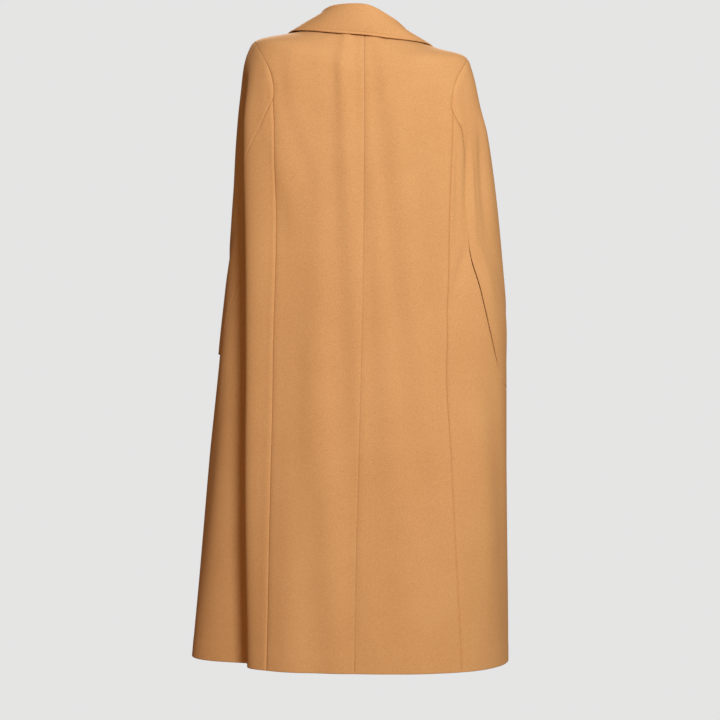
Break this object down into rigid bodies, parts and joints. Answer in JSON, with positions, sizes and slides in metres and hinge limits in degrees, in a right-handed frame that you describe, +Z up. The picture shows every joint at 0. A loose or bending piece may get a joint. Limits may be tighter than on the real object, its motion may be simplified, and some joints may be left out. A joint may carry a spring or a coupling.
{
  "type": "maxi coat",
  "caption": "Hollow ankle-length wool coat with cape sleeves, a large turned-down collar and a flared skirt, in the pose it is worn in.",
  "frame": {"origin": "between the shoulders, where the wearer carries the coat, 1.165 m above the hem", "axes": "+Z up along the coat, -Y the front, +X the wearer's left"},
  "size_m": [0.6118, 0.4458, 1.258],
  "materials": {
    "camel_wool": "soft napped wool",
    "dark_horn": "satin, like horn"
  },
  "bodies": {
    "root": {"back_left": "camel_wool", "back_right": "camel_wool", "front_left": "camel_wool", "front_right": "camel_wool", "sleeve_left": "camel_wool", "sleeve_right": "camel_wool", "side_left": "camel_wool", "side_right": "camel_wool", "lapel_left": "camel_wool", "lapel_right": "camel_wool", "collar": "camel_wool", "button_1": "dark_horn", "button_2": "dark_horn", "button_3": "dark_horn"}
  },
  "joints": []
}
